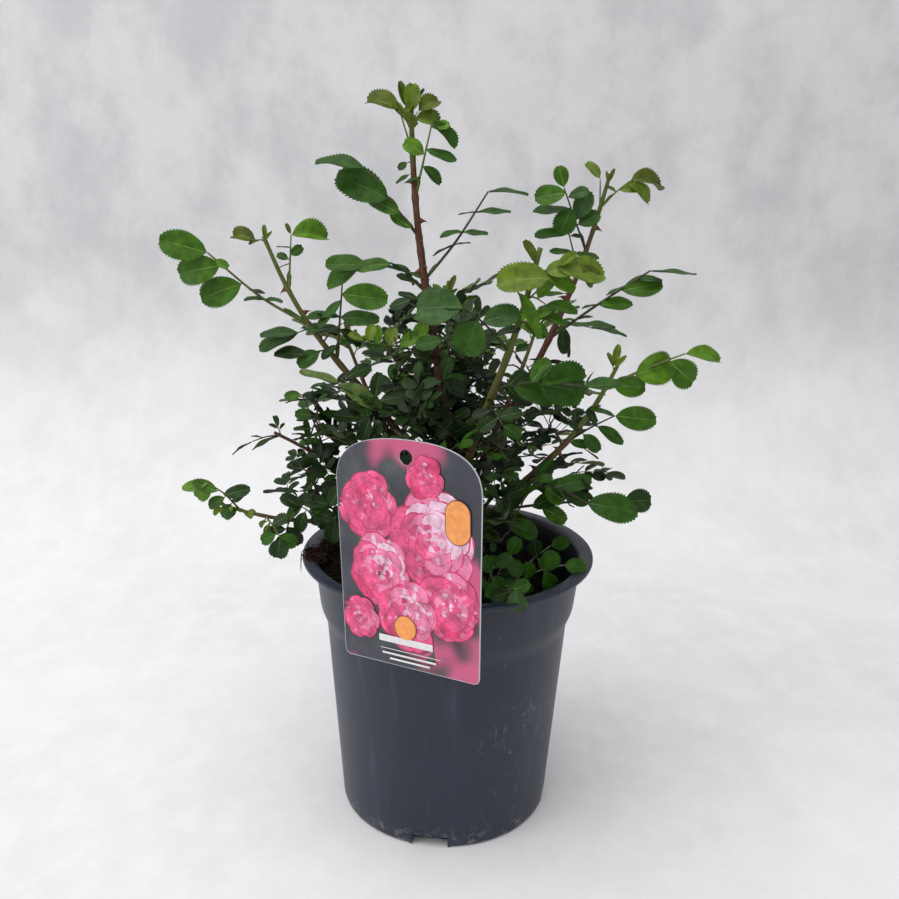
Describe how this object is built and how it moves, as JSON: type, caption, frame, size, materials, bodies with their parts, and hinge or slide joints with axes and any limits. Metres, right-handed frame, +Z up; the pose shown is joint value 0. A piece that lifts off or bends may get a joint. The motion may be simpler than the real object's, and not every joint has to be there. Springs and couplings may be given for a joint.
{
  "type": "potted rose bush",
  "caption": "Young rose bush with thorny arching canes and sprays of serrated leaves, in a round tapered nursery pot with a flanged rim and a picture label leaning on it.",
  "frame": {"origin": "middle of the pot's flat underside, where it stands", "axes": "+Z up, -Y towards the front, the side that the label leans on, and +X to the right as seen from the front"},
  "size_m": [0.3223, 0.2413, 0.4661],
  "materials": {
    "pot_plastic": "slate blue-grey moulded plastic, satin, dusty and lightly scuffed",
    "potting_mix": "dark moist peat and bark crumbs with brown fibres",
    "label_card": null,
    "old_bark": "rough brown bark",
    "cane_bark": "smooth red-brown bark turning green towards the tips, with thorns",
    "foliage": "satin green leaves, paler underneath, bronze at the young tips"
  },
  "bodies": {
    "root": {"pot": "pot_plastic", "soil": "potting_mix", "label": "label_card", "root_crown": "old_bark", "cane_back": "cane_bark", "cane_back_left": "cane_bark", "cane_back_right": "cane_bark", "cane_front": "cane_bark", "cane_left": "cane_bark", "cane_low_left": "cane_bark", "cane_low_right": "cane_bark", "cane_right": "cane_bark", "cane_side_left": "cane_bark", "cane_tall": "cane_bark", "leaves_heart": "foliage", "leaves_heart_back": "foliage", "leaves_heart_front": "foliage", "leaves_heart_left": "foliage", "leaves_heart_right": "foliage", "leaves_heart_top": "foliage", "leaves_pot_clump": "foliage", "leaves_skirt_left": "foliage", "leaves_skirt_right": "foliage", "spray_back_1": "foliage", "spray_back_2": "foliage", "spray_back_3": "foliage", "spray_back_left_1": "foliage", "spray_back_left_2": "foliage", "spray_back_left_3": "foliage", "spray_back_right_1": "foliage", "spray_back_right_2": "foliage", "spray_back_right_3": "foliage", "spray_front_left": "foliage", "spray_front_low": "foliage", "spray_front_right": "foliage", "spray_front_tuft": "foliage", "spray_left_far": "foliage", "spray_left_inner": "foliage", "spray_left_tuft": "foliage", "spray_left_under": "foliage", "spray_left_upright": "foliage", "spray_low_left_hang": "foliage", "spray_low_left_tip": "foliage", "spray_low_right_far": "foliage", "spray_low_right_low": "foliage", "spray_low_right_mid": "foliage", "spray_right_far": "foliage", "spray_right_inner": "foliage", "spray_right_tuft": "foliage", "spray_right_under": "foliage", "spray_side_left_tip": "foliage", "spray_side_left_up": "foliage", "spray_tall_back": "foliage", "spray_tall_left": "foliage", "spray_tall_right": "foliage", "spray_tall_tuft": "foliage", "spray_tall_upper": "foliage"}
  },
  "joints": []
}
